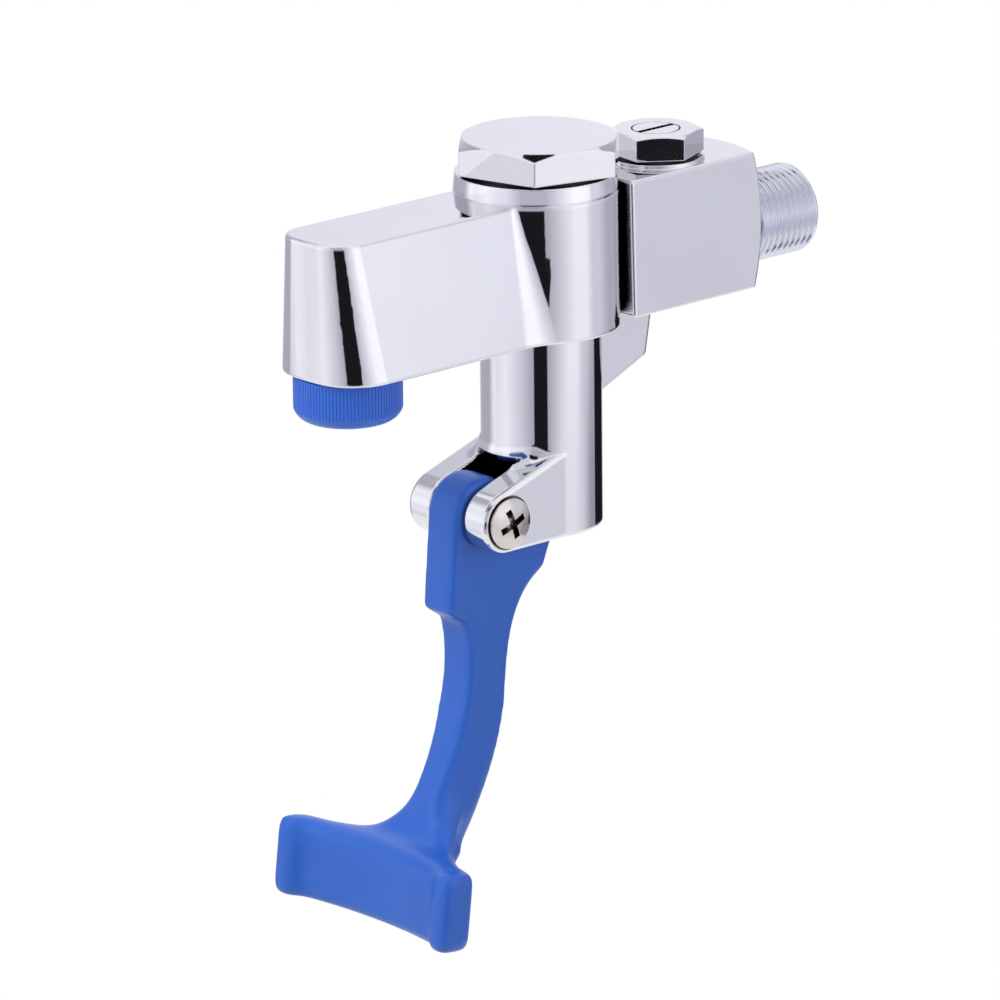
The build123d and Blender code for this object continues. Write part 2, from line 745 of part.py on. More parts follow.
# Guide bush with grooves for its rings
with BuildPart() as guide_bush:
    upright_bar(bush_radius, valve_y, bush_foot, bush_bore_top)
    upright_bar(stem_radius + running_clearance, valve_y, bush_foot, bush_bore_top, Mode.SUBTRACT)
    for ring_z in stem_ring_heights:
        cut_ring_groove(stem_ring_centre, stem_ring_section, valve_y, ring_z)
    cut_ring_groove(bush_ring_centre, bush_ring_section, valve_y, bush_middle)
guide_bush.part.label = "guide_bush"
export_step(guide_bush.part, "parts/guide_bush.step")

# Two alike O-rings that seal the stem
stem_rings = Compound(
    [level_ring(stem_ring_centre, stem_ring_section, valve_y, height) for height in stem_ring_heights]
)
stem_rings.label = "stem_rings"
export_step(stem_rings, "parts/stem_rings.step")

# O-ring round the guide bush
bush_ring = level_ring(bush_ring_centre, bush_ring_section, valve_y, bush_middle)
bush_ring.label = "bush_ring"
export_step(bush_ring, "parts/bush_ring.step")

# Circlip that holds the guide bush
with BuildPart() as bush_circlip:
    upright_bar(circlip_outer_radius, valve_y, circlip_foot, bush_foot)
    upright_bar(circlip_outer_radius - circlip_width, valve_y, circlip_foot, bush_foot, Mode.SUBTRACT)
    with Locations((0, valve_y, circlip_foot)):
        Box(
            circlip_gap,
            2 * circlip_outer_radius,
            circlip_thickness,
            align=(Align.CENTER, Align.MAX, Align.MIN),
            mode=Mode.SUBTRACT,
        )
bush_circlip.part.label = "bush_circlip"
export_step(bush_circlip.part, "parts/bush_circlip.step")

# Stem foot: button with a crowned bottom that rides on the lever's heel
with BuildPart() as stem_foot:
    with BuildSketch(Plane.XZ.offset(-valve_y)):
        with BuildLine():
            ThreePointArc(
                (0, foot_bottom),
                (foot_radius / 2, foot_bottom + dome_drop(foot_crown, foot_radius)),
                (foot_radius, foot_bottom + foot_crown),
            )
            Polyline(
                (foot_radius, foot_bottom + foot_crown),
                (foot_radius, foot_top),
                (0, foot_top),
                (0, foot_bottom),
            )
        make_face()
    revolve(axis=Axis((0, valve_y, 0), (0, 0, 1)))
    upright_bar(stem_radius, valve_y, stem_foot_z, foot_top, Mode.SUBTRACT)
stem_foot.part.label = "stem_foot"
export_step(stem_foot.part, "parts/stem_foot.step")

# Lever arm: side profile of head, heel and arm
with BuildPart() as lever_arm:
    with BuildSketch(Plane(origin=(0, pivot_y, pivot_z), x_dir=(0, 1, 0), z_dir=(1, 0, 0))):
        with BuildLine():
            head_back = sqrt(lever_head_radius**2 - heel_top**2)
            heel_reach = pivot_reach + heel_behind_axis
            heel_end = (heel_end_reach, -heel_end_drop)
            tip_rear = (tip_rear_reach, -tip_rear_drop)
            arm_root = ((pad_saddle_reach + tip_rear_reach) / 2, -pad_drop - pad_height / 2)
            flare_front = (slope_front_reach, -slope_front_drop)
            step_inner = (step_reach, -step_drop)
            head_front = (head_front_reach, -head_front_drop)
            Polyline(
                (head_back, heel_top),
                (heel_reach, heel_top),
                (heel_reach, heel_top - heel_thickness),
                (heel_low_reach, -heel_low_drop),
                heel_end,
            )
            Spline(
                heel_end,
                (throat_reach, -throat_drop),
                (neck_rear_reach, -neck_rear_drop),
                (bend_rear_reach, -bend_rear_drop),
                (slope_rear_reach, -slope_rear_drop),
                tip_rear,
            )
            Polyline(tip_rear, arm_root, flare_front)
            Spline(
                flare_front,
                (bend_front_reach, -bend_front_drop),
                (neck_front_reach, -neck_front_drop),
                step_inner,
            )
            Polyline(step_inner, head_front, (-lever_head_radius, 0))
            ThreePointArc((-lever_head_radius, 0), (0, lever_head_radius), (head_back, heel_top))
        make_face()
    extrude(amount=lever_half_width, both=True)
    fillet(lever_arm.edges().filter_by(Plane.YZ), lever_edge_radius)

# Flare from the arm into the pad: sections that widen along a quarter circle
with BuildPart() as lever_flare:
    for step in range(flare_sections):
        turn = pi / 2 * step / (flare_sections - 1)
        spread = 1 - cos(turn)
        low_front = pad_saddle_reach + flare_front_inset
        top_front = slope_front_reach + flare_top_inset
        front = top_front + (low_front - top_front) * spread
        rear = flare_rear_reach + (flare_foot_reach - flare_rear_reach) * spread
        height = pad_top_z - flare_sink * spread + flare_radius * (1 - sin(turn))
        with BuildSketch(Plane.XY.offset(height)):
            with Locations((0, pivot_y + front)):
                half_width = lever_half_width - flare_width_inset + (flare_radius + flare_width_inset) * spread
                Rectangle(2 * half_width, rear - front, align=(Align.CENTER, Align.MIN))
    loft(ruled=True)

# Push pad: saddle between two raised rims, drawn in plan and leaned forward
pad_lean_turn = radians(pad_lean)
pad_plane = Plane(
    origin=(0, pivot_y, pad_top_z + pad_saddle_reach * sin(pad_lean_turn)),
    x_dir=(1, 0, 0),
    z_dir=(0, sin(pad_lean_turn), cos(pad_lean_turn)),
)
with BuildPart() as lever_pad:
    with BuildSketch(pad_plane) as pad_plan:
        with BuildLine() as pad_outline:
            ThreePointArc(
                (-pad_saddle_half_width, pad_saddle_edge_reach),
                (0, pad_saddle_reach),
                (pad_saddle_half_width, pad_saddle_edge_reach),
            )
            Polyline(
                (pad_saddle_half_width, pad_saddle_edge_reach),
                (pad_half_length - pad_rim_thickness, pad_rim_reach),
                (pad_half_length, pad_rim_reach),
                (pad_half_length, pad_tip_reach),
                (pad_shoulder_half_width, pad_shoulder_reach),
                (pad_root_half_width, pad_root_reach),
                (0, pad_root_reach),
            )
            mirror(about=Plane.YZ)
        make_face()
        outer_corners = pad_plan.vertices().filter_by(lambda v: abs(v.X) > pad_saddle_half_width)
        fillet(outer_corners, pad_edge_radius)
    extrude(amount=-pad_height)
    fillet(lever_pad.faces().sort_by(Axis.Z)[-1].edges(), pad_edge_radius)
    fillet(lever_pad.faces().sort_by(Axis.Z)[0].edges(), pad_edge_radius)

with BuildPart() as lever:
    add(lever_arm.part)
    add(lever_flare.part)
    add(lever_pad.part)
    cross_bore(lever_bush_radius, pivot_y, pivot_z, -lever_half_width, lever_half_width)
lever.part.label = "lever"
export_step(lever.part, "parts/lever.step")

# Lever bush, pressed in the lever and running on the sleeve nut
with BuildPart() as lever_bush:
    cross_bore(lever_bush_radius, pivot_y, pivot_z, -lever_half_width, lever_half_width, Mode.ADD)
    cross_bore(barrel_radius + running_clearance, pivot_y, pivot_z, -lever_half_width, lever_half_width)
lever_bush.part.label = "lever_bush"
export_step(lever_bush.part, "parts/lever_bush.step")

# Two alike washers beside the lever, in one node
with BuildPart() as lever_washers:
    cross_bore(lever_washer_radius, pivot_y, pivot_z, washer_inner, washer_outer, Mode.ADD)
    cross_bore(lever_washer_radius, pivot_y, pivot_z, -washer_outer, -washer_inner, Mode.ADD)
    cross_bore(barrel_radius, pivot_y, pivot_z, -washer_outer, washer_outer)
lever_washers.part.label = "lever_washers"
export_step(lever_washers.part, "parts/lever_washers.step")

# Sleeve nut: barrel through both ears, domed head on the far ear
with BuildPart() as pivot_sleeve_nut:
    with BuildSketch(Plane(origin=(0, pivot_y, pivot_z))):
        with BuildLine():
            Polyline(
                (nut_face, 0),
                (spotface_x - seat_gap, 0),
                (spotface_x - seat_gap, barrel_radius),
                (-spotface_x, barrel_radius),
                (-spotface_x, pin_head_radius),
                (-spotface_x - nut_head_edge, pin_head_radius),
            )
            ThreePointArc(
                (-spotface_x - nut_head_edge, pin_head_radius),
                (nut_face + dome_drop(nut_head_height - nut_head_edge, pin_head_radius), pin_head_radius / 2),
                (nut_face, 0),
            )
        make_face()
    revolve(axis=Axis((0, pivot_y, pivot_z), (1, 0, 0)))
    cross_bore(pin_radius, pivot_y, pivot_z, spotface_x - pin_thread_length, spotface_x)
pivot_sleeve_nut.part.label = "pivot_sleeve_nut"
export_step(pivot_sleeve_nut.part, "parts/pivot_sleeve_nut.step")

# Pivot screw: crowned pan head with a cross recess, threaded into the barrel
with BuildPart() as pivot_screw:
    with BuildSketch(Plane(origin=(0, pivot_y, pivot_z))):
        with BuildLine():
            Polyline(
                (screw_face, 0),
                (screw_foot_x, 0),
                (screw_foot_x, pin_radius),
                (spotface_x, pin_radius),
                (spotface_x, pin_head_radius),
                (screw_face - pin_head_crown, pin_head_radius),
            )
            ThreePointArc(
                (screw_face - pin_head_crown, pin_head_radius),
                (screw_face - dome_drop(pin_head_crown, pin_head_radius), pin_head_radius / 2),
                (screw_face, 0),
            )
        make_face()
    revolve(axis=Axis((0, pivot_y, pivot_z), (1, 0, 0)))
    for turn in (recess_turn, recess_turn + 90):
        with Locations(Location((screw_face, pivot_y, pivot_z), (turn, 0, 0))):
            Box(2 * recess_depth, recess_length, recess_width, mode=Mode.SUBTRACT)
pivot_screw.part.label = "pivot_screw"
export_step(pivot_screw.part, "parts/pivot_screw.step")

# Aerator cap: fine upright ribs, screwed on the spigot, lip at its mouth
with BuildPart() as aerator_blank:
    upright_bar(aerator_radius + aerator_rib_depth, outlet_y, aerator_foot, aerator_top)
    fillet(aerator_blank.edges().filter_by_position(Axis.Z, aerator_foot, aerator_foot), aerator_edge_radius)
    fillet(aerator_blank.edges().filter_by_position(Axis.Z, aerator_top, aerator_top), aerator_top_edge)

with BuildPart() as aerator_cap:
    with BuildSketch(Plane.XY.offset(aerator_foot)):
        with Locations((0, outlet_y)):
            Circle(aerator_radius)
            with PolarLocations(aerator_radius, aerator_rib_count):
                Circle(aerator_rib_depth, mode=Mode.SUBTRACT)
    extrude(amount=aerator_height)
    add(aerator_blank.part, mode=Mode.INTERSECT)
    upright_bar(aerator_bore_radius, outlet_y, straightener_foot, aerator_top, Mode.SUBTRACT)
    upright_bar(aerator_mouth_radius, outlet_y, aerator_foot, straightener_foot, Mode.SUBTRACT)
aerator_cap.part.label = "aerator_cap"
export_step(aerator_cap.part, "parts/aerator_cap.step")

# Aerator gasket between the spigot and the screen
with BuildPart() as aerator_gasket:
    upright_bar(aerator_bore_radius, outlet_y, aerator_gasket_foot, spigot_foot)
    upright_bar(outlet_bore_radius, outlet_y, aerator_gasket_foot, spigot_foot, Mode.SUBTRACT)
aerator_gasket.part.label = "aerator_gasket"
export_step(aerator_gasket.part, "parts/aerator_gasket.step")


def holed_disc(low, high, hole_radius, hole_pitch, hole_rings):
    """Disc across the aerator's bore with rings of holes round a middle one."""
    with BuildPart() as made:
        with BuildSketch(Plane.XY.offset(low)):
            with Locations((0, outlet_y)):
                Circle(aerator_bore_radius)
                Circle(hole_radius, mode=Mode.SUBTRACT)
                for hole_ring in range(1, hole_rings + 1):
                    with PolarLocations(hole_ring * hole_pitch, 6 * hole_ring):
                        Circle(hole_radius, mode=Mode.SUBTRACT)
        extrude(amount=high - low)
    return made.part


# Screen and flow straightener in the aerator's bore
aerator_screen = holed_disc(
    screen_foot,
    aerator_gasket_foot,
    screen_hole_radius,
    screen_hole_pitch,
    screen_hole_rings,
)
aerator_screen.label = "aerator_screen"
export_step(aerator_screen, "parts/aerator_screen.step")

flow_straightener = holed_disc(
    straightener_foot,
    screen_foot,
    straightener_hole_radius,
    straightener_hole_pitch,
    straightener_hole_rings,
)
flow_straightener.label = "flow_straightener"
export_step(flow_straightener, "parts/flow_straightener.step")
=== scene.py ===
"""Looks for the push-back glass filler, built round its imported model. Lengths are in metres."""

import json
import math

import bmesh
import bpy
import numpy
from mathutils import Matrix, Vector

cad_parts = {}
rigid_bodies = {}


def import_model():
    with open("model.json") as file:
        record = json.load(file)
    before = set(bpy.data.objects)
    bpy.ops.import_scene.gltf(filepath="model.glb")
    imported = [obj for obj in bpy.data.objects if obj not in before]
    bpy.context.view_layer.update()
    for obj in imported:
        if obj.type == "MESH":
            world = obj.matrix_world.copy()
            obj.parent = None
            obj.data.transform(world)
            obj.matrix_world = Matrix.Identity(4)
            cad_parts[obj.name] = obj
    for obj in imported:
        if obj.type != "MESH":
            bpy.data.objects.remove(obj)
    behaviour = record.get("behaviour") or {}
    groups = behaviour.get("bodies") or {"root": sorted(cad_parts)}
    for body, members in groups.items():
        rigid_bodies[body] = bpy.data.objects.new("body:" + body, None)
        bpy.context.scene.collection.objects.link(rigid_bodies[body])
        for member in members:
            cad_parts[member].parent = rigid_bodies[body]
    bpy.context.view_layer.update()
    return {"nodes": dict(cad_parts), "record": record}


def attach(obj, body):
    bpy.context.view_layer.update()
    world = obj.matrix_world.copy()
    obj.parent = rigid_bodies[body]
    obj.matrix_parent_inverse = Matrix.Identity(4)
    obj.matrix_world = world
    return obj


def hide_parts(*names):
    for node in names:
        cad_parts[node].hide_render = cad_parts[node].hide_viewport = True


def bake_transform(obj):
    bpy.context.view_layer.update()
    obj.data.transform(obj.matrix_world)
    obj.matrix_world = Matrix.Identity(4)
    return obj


for thing in list(bpy.data.objects):
    bpy.data.objects.remove(thing)

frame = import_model()
nodes = frame["nodes"]

MM = 0.001


def hex_colour(text):
    """Linear RGBA of an sRGB hex colour."""
    parts = [int(text[i:i + 2], 16) / 255 for i in (0, 2, 4)]
    return (*[p / 12.92 if p <= 0.04045 else ((p + 0.055) / 1.055) ** 2.4 for p in parts], 1)


def put(tree, kind, inputs=None, **settings):
    """Adds a node with its settings, and sets or links its inputs."""
    made = tree.nodes.new(kind)
    for name, value in settings.items():
        setattr(made, name, value)
    for name, value in (inputs or {}).items():
        if isinstance(value, bpy.types.NodeSocket):
            tree.links.new(value, made.inputs[name])
        else:
            made.inputs[name].default_value = value
    return made


def new_material(name):
    """Empty material and its node tree."""
    material = bpy.data.materials.new(name)
    material.use_nodes = True
    material.node_tree.nodes.clear()
    return material, material.node_tree


def finish_material(material, surface):
    """Joins a surface to the material's output."""
    put(material.node_tree, "ShaderNodeOutputMaterial", {"Surface": surface})
    return material


# Noise patterns lie mostly between these
NOISE_LOW = 0.3
NOISE_HIGH = 0.7

# Pattern sizes from crest to crest, and depths
BUFFING_WAVE = 9.09 * MM
PLATING_HAZE = 22.2 * MM
METAL_CLOUD = 6.25 * MM
MOULD_FLOW = 18.2 * MM
SKIN_DEPTH = 0.1 * MM
SCRATCH_DEPTH = 0.05 * MM
SCRATCH_STRENGTH = 0.25


def per_metre(*sizes_mm):
    """Pattern scale along X, Y and Z from sizes in millimetres."""
    return tuple(1 / (size * MM) for size in sizes_mm)


# Camera at the photograph's angle: a long lens on the far side of the spout
CAMERA_AZIMUTH = math.radians(48.36)
CAMERA_HEIGHT = math.radians(16.93)
CAMERA_ROLL = math.radians(-0.61)
CAMERA_DISTANCE = 1823.82 * MM
CAMERA_AIM = Vector((0, -60 * MM, -54.81 * MM))
CAMERA_SIDESTEP = -9.63 * MM

back = Vector((
    math.sin(CAMERA_AZIMUTH) * math.cos(CAMERA_HEIGHT),
    -math.cos(CAMERA_AZIMUTH) * math.cos(CAMERA_HEIGHT),
    math.sin(CAMERA_HEIGHT),
))
level_right = Vector((math.cos(CAMERA_AZIMUTH), math.sin(CAMERA_AZIMUTH), 0))
level_up = back.cross(level_right)
right = level_right * math.cos(CAMERA_ROLL) + level_up * math.sin(CAMERA_ROLL)
up = level_up * math.cos(CAMERA_ROLL) - level_right * math.sin(CAMERA_ROLL)
camera_data = bpy.data.cameras.new("camera")
camera_data.sensor_width = 36
camera_data.lens = 288
camera_data.clip_end = 50
camera = bpy.data.objects.new("camera", camera_data)
camera.matrix_world = Matrix((right, up, back)).transposed().to_4x4()
camera.matrix_world.translation = CAMERA_AIM + level_right * CAMERA_SIDESTEP + back * CAMERA_DISTANCE
bpy.context.scene.collection.objects.link(camera)
bpy.context.scene.camera = camera
bpy.context.scene.view_settings.view_transform = "Standard"


# Materials
# Painted shade: chrome turns towards a near-black tone where ambient occlusion finds a closed crevice
CREVICE_REACH = 5 * MM
CREVICE_OPENNESS = (0.22, 0.42)
CREVICE_PAINTED_SHADE = "17181C"
# Painted shade: the near-black tone painted on the marked inside of the slot and the bore
POCKET_PAINTED_SHADE = "121316"
MIRROR_ROUGHNESS = 0.02
# Painted shade: bare metal turns towards a dark brown-grey where ambient occlusion finds a closed groove
GROOVE_OPENNESS = (0.5, 0.85)
GROOVE_PAINTED_SHADE = "2A2422"
MOULDED_IOR = 1.49


def chrome(name, low_hex, high_hex, roughest, waviness, edge_radius):
    """Chromium plate on buffed brass: mirror gloss, faint waves, softened edges, with painted shade in its
    crevices and on the points marked as pocket shade.
    """
    material, tree = new_material(name)
    place = put(tree, "ShaderNodeTexCoord").outputs["Object"]
    waves_noise = {"Vector": place, "Scale": 1 / BUFFING_WAVE, "Detail": 2}
    buffing = put(tree, "ShaderNodeTexNoise", waves_noise).outputs["Fac"]
    haze_noise = {"Vector": place, "Scale": 1 / PLATING_HAZE, "Detail": 6}
    haze = put(tree, "ShaderNodeTexNoise", haze_noise).outputs["Fac"]
    tint = put(
        tree,
        "ShaderNodeMix",
        {"Factor": haze, "A": hex_colour(low_hex), "B": hex_colour(high_hex)},
        data_type="RGBA",
    )
    # Painted shade: the tint turns dark where ambient occlusion finds the crevice closed
    hollow = put(tree, "ShaderNodeAmbientOcclusion", {"Distance": CREVICE_REACH}, samples=8)
    openness = put(
        tree,
        "ShaderNodeMapRange",
        {"Value": hollow.outputs["AO"], "From Min": CREVICE_OPENNESS[0], "From Max": CREVICE_OPENNESS[1]},
    )
    plate = put(
        tree,
        "ShaderNodeMix",
        {"Factor": openness.outputs["Result"], "A": hex_colour(CREVICE_PAINTED_SHADE), "B": tint.outputs["Result"]},
        data_type="RGBA",
    )
    # Painted shade: points marked in the mesh attribute take a near-black tone
    pocket_shade_mask = put(tree, "ShaderNodeAttribute", attribute_name="pocket_shade").outputs["Fac"]
    coat = put(
        tree,
        "ShaderNodeMix",
        {"Factor": pocket_shade_mask, "A": plate.outputs["Result"], "B": hex_colour(POCKET_PAINTED_SHADE)},
        data_type="RGBA",
    )
    gloss = put(
        tree,
        "ShaderNodeMapRange",
        {
            "Value": haze,
            "From Min": NOISE_LOW,
            "From Max": NOISE_HIGH,
            "To Min": MIRROR_ROUGHNESS,
            "To Max": roughest,
        },
    )
    soft_edge = put(tree, "ShaderNodeBevel", {"Radius": edge_radius}, samples=6)
    waves = put(
        tree,
        "ShaderNodeBump",
        {
            "Height": buffing,
            "Strength": waviness,
            "Distance": SKIN_DEPTH,
            "Normal": soft_edge.outputs["Normal"],
        },
    )
    surface = put(
        tree,
        "ShaderNodeBsdfPrincipled",
        {
            "Base Color": coat.outputs["Result"],
            "Metallic": 1.0,
            "Roughness": gloss.outputs["Result"],
            "Normal": waves.outputs["Normal"],
        },
    )
    return finish_material(material, surface.outputs["BSDF"])


def metal(
    name, low_hex, high_hex, smoothest, roughest, grain, groove_reach=1 * MM, edge_radius=0.15 * MM
):
    """Bare or turned metal: grain stretched round it, roughness in fine bands, painted shade in its
    grooves.
    """
    material, tree = new_material(name)
    place = put(tree, "ShaderNodeTexCoord").outputs["Object"]
    stretched = put(tree, "ShaderNodeMapping", {"Vector": place, "Scale": grain}).outputs["Vector"]
    turning_noise = {"Vector": stretched, "Scale": 1, "Detail": 3}
    turning = put(tree, "ShaderNodeTexNoise", turning_noise).outputs["Fac"]
    cloud_noise = {"Vector": place, "Scale": 1 / METAL_CLOUD, "Detail": 4}
    cloud = put(tree, "ShaderNodeTexNoise", cloud_noise).outputs["Fac"]
    tint = put(
        tree,
        "ShaderNodeMix",
        {"Factor": cloud, "A": hex_colour(low_hex), "B": hex_colour(high_hex)},
        data_type="RGBA",
    )
    # Painted shade: the tint turns dark where ambient occlusion finds the groove closed
    hollow = put(tree, "ShaderNodeAmbientOcclusion", {"Distance": groove_reach}, samples=8)
    openness = put(
        tree,
        "ShaderNodeMapRange",
        {"Value": hollow.outputs["AO"], "From Min": GROOVE_OPENNESS[0], "From Max": GROOVE_OPENNESS[1]},
    )
    groove_shaded_tint = put(
        tree,
        "ShaderNodeMix",
        {"Factor": openness.outputs["Result"], "A": hex_colour(GROOVE_PAINTED_SHADE), "B": tint.outputs["Result"]},
        data_type="RGBA",
    )
    bands = put(
        tree,
        "ShaderNodeMapRange",
        {
            "Value": turning,
            "From Min": NOISE_LOW,
            "From Max": NOISE_HIGH,
            "To Min": smoothest,
            "To Max": roughest,
        },
    )
    soft_edge = put(tree, "ShaderNodeBevel", {"Radius": edge_radius}, samples=4)
    scratches = put(
        tree,
        "ShaderNodeBump",
        {
            "Height": turning,
            "Strength": SCRATCH_STRENGTH,
            "Distance": SCRATCH_DEPTH,
            "Normal": soft_edge.outputs["Normal"],
        },
    )
    surface = put(
        tree,
        "ShaderNodeBsdfPrincipled",
        {
            "Base Color": groove_shaded_tint.outputs["Result"],
            "Metallic": 1.0,
            "Roughness": bands.outputs["Result"],
            "Normal": scratches.outputs["Normal"],
        },
    )
    return finish_material(material, surface.outputs["BSDF"])


def plastic(name, low_hex, high_hex, smoothest, roughest, grain_mm, depth, edge_radius):
    """Moulded plastic or rubber: even colour with slight flow marks, fine mould grain, soft edges."""
    material, tree = new_material(name)
    place = put(tree, "ShaderNodeTexCoord").outputs["Object"]
    flow_noise = {"Vector": place, "Scale": 1 / MOULD_FLOW, "Detail": 3}
    flow = put(tree, "ShaderNodeTexNoise", flow_noise).outputs["Fac"]
    grain_noise = {"Vector": place, "Scale": 1 / (grain_mm * MM), "Detail": 2}
    grain = put(tree, "ShaderNodeTexNoise", grain_noise).outputs["Fac"]
    tint = put(
        tree,
        "ShaderNodeMix",
        {"Factor": flow, "A": hex_colour(low_hex), "B": hex_colour(high_hex)},
        data_type="RGBA",
    )
    satin = put(
        tree,
        "ShaderNodeMapRange",
        {
            "Value": grain,
            "From Min": NOISE_LOW,
            "From Max": NOISE_HIGH,
            "To Min": smoothest,
            "To Max": roughest,
        },
    )
    soft_edge = put(tree, "ShaderNodeBevel", {"Radius": edge_radius}, samples=4)
    skin = put(
        tree,
        "ShaderNodeBump",
        {
            "Height": grain,
            "Strength": depth,
            "Distance": SKIN_DEPTH,
            "Normal": soft_edge.outputs["Normal"],
        },
    )
    surface = put(
        tree,
        "ShaderNodeBsdfPrincipled",
        {
            "Base Color": tint.outputs["Result"],
            "Roughness": satin.outputs["Result"],
            "IOR": MOULDED_IOR,
            "Normal": skin.outputs["Normal"],
        },
    )
    return finish_material(material, surface.outputs["BSDF"])


LEVEL_GRAIN = per_metre(2.5, 2.5, 0.25)
PIN_GRAIN = per_metre(0.25, 2.5, 2.5)
NIPPLE_GRAIN = per_metre(3.33, 0.2, 3.33)
CHROME_HEXES = ("E0E0E4", "E8E8EC")
RUBBER_HEXES = ("1C1C1D", "242425")
finishes = {
    # Brass casting, ground, buffed and chromium plated: a mirror with a trace of the buffing's waves
    "chromed_casting": chrome("chromed_casting", *CHROME_HEXES, 0.05, 0.02, 0.6 * MM),
    # Brass hexagon bar, turned, chamfered and plated: flat mirrors with soft corners
    "chromed_cap": chrome("chromed_cap", *CHROME_HEXES, 0.05, 0.015, 0.6 * MM),
    # The same bar in the small size: its corners look crisper
    "chromed_nut": chrome("chromed_nut", *CHROME_HEXES, 0.06, 0.015, 0.25 * MM),
    # Turned and slotted brass, lightly buffed before plating: a little duller than the nut round it
    "chromed_plug": chrome("chromed_plug", *CHROME_HEXES, 0.10, 0.03, 0.2 * MM),
    # Brass pipe with cut threads under thin chromium: bright crests, painted shade in the roots
    "chromed_pipe": metal("chromed_pipe", "D4D6E0", "E4E6EE", 0.1, 0.22, NIPPLE_GRAIN, 0.35 * MM),
    # Moulded acetal, coloured through, from a polished mould: satin blue with a faint sheen
    "blue_lever_plastic": plastic(
        "blue_lever_plastic", "2664CE", "2A69D4", 0.28, 0.36, 0.7, 0.03, 0.5 * MM
    ),
    # The same blue moulded in fine ribs: a little duller, because the mould isn't polished between them
    "blue_ribbed_plastic": plastic(
        "blue_ribbed_plastic", "3470E0", "3A76E8", 0.34, 0.46, 0.4, 0.08, 0.2 * MM
    ),
    # Machined natural acetal: milky white, satin
    "white_acetal": plastic("white_acetal", "E6E4DC", "EEECE6", 0.3, 0.45, 0.5, 0.05, 0.2 * MM),
    # Moulded nitrile rubber: matt and nearly black
    "seal_rubber": plastic("seal_rubber", *RUBBER_HEXES, 0.5, 0.7, 0.3, 0.2, 0.1 * MM),
    # Stainless steel, cold headed and tumbled: a warm grey mirror, painted shade in its recess
    "polished_steel": metal(
        "polished_steel", "CFC8C4", "DDD8D5", 0.08, 0.2, PIN_GRAIN, 2.2 * MM, 0.3 * MM
    ),
    # Pierced stainless sheet: plain grey
    "steel_mesh": metal("steel_mesh", "A8AAAD", "C0C2C5", 0.25, 0.45, LEVEL_GRAIN),
    # Drawn stainless wire: grey, with the lines of the drawing die
    "spring_steel": metal("spring_steel", "9A9CA0", "B4B6BA", 0.2, 0.4, LEVEL_GRAIN),
    # Brass from the lathe, not plated: yellow, with fine rings
    "turned_brass": metal("turned_brass", "C9A45C", "D8B46C", 0.16, 0.34, LEVEL_GRAIN),
}
for row in frame["record"]["subparts"]:
    mesh = nodes[row["node"]].data
    for index in range(len(mesh.materials)):
        mesh.materials[index] = finishes[row["material_slot"]]


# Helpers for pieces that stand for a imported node
MERGE_GAP = 0.001 * MM
SAME_PLACE = 0.01 * MM
SAME_FACING = 0.999


def merged_copy(node, name):
    """Copy of a CAD node's mesh with its triangles joined up."""
    made = bpy.data.meshes.new(name)
    form = bmesh.new()
    form.from_mesh(nodes[node].data)
    bmesh.ops.remove_doubles(form, verts=form.verts, dist=MERGE_GAP)
    form.to_mesh(made)
    form.free()
    piece = bpy.data.objects.new(name, made)
    bpy.context.scene.collection.objects.link(piece)
    return piece


def place_key(place):
    """Rounded place, the same for corners that meet."""
    return tuple(round(part / SAME_PLACE) for part in place)


def take_normals(piece, node):
    """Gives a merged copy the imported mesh's own corner normals, found by place and facing."""
    source = nodes[node].data
    known = {}
    for face in source.polygons:
        for corner in face.loop_indices:
            key = place_key(source.vertices[source.loops[corner].vertex_index].co)
            normal = source.corner_normals[corner].vector.copy()
            known.setdefault(key, []).append((face.normal.copy(), normal))
    mesh = piece.data
    chosen = []
    for face in mesh.polygons:
        for corner in face.loop_indices:
            key = place_key(mesh.vertices[mesh.loops[corner].vertex_index].co)
            pairs = [pair for pair in known.get(key, ()) if pair[0].dot(face.normal) > SAME_FACING]
            nearest = max(pairs, key=lambda pair: pair[0].dot(face.normal), default=None)
            chosen.append(nearest[1] if nearest else face.normal)
    mesh.normals_split_custom_set(chosen)


def coat(piece, slot):
    """Gives a piece its one finish."""
    piece.data.materials.clear()
    piece.data.materials.append(finishes[slot])


def settle(piece):
    """Applies a piece's modifiers."""
    graph = bpy.context.evaluated_depsgraph_get()
    done = bpy.data.meshes.new_from_object(piece.evaluated_get(graph))
    piece.modifiers.clear()
    piece.data = done


# Lever: the moulded form, its edges and the flare above the pad smoothed
LEVER_VOXEL = 0.6 * MM
lever_moulding = merged_copy("lever", "lever_moulding")
remesh = lever_moulding.modifiers.new("skin", "REMESH")
remesh.mode = "VOXEL"
remesh.voxel_size = LEVER_VOXEL
settle(lever_moulding)
form = bmesh.new()
form.from_mesh(lever_moulding.data)
PAD_TOP = -125.4 * MM
FLARE_FOOT = -131.4 * MM
FLARE_TOP = -100 * MM
FLARE_HALF_WIDTH = 28 * MM
FLARE_STEPS = 7
FLARE_DROP = 3 * MM
FLARE_DRAW_IN = 1 * MM
FIRST_TURNS = 6
PAD_TURNS = 16
FLARE_TURNS = 12
LAST_TURNS = 4
skins = [(form.verts, FIRST_TURNS), ([vert for vert in form.verts if vert.co.z < PAD_TOP], PAD_TURNS)]
for step in range(FLARE_STEPS):
    flare_top = FLARE_TOP - step * FLARE_DROP
    flare_side = FLARE_HALF_WIDTH - step * FLARE_DRAW_IN
    flare_skin = [
        vert for vert in form.verts if FLARE_FOOT < vert.co.z < flare_top and abs(vert.co.x) < flare_side
    ]
    skins.append((flare_skin, FLARE_TURNS))
skins.append((form.verts, LAST_TURNS))
every_axis = {"use_axis_x": True, "use_axis_y": True, "use_axis_z": True}
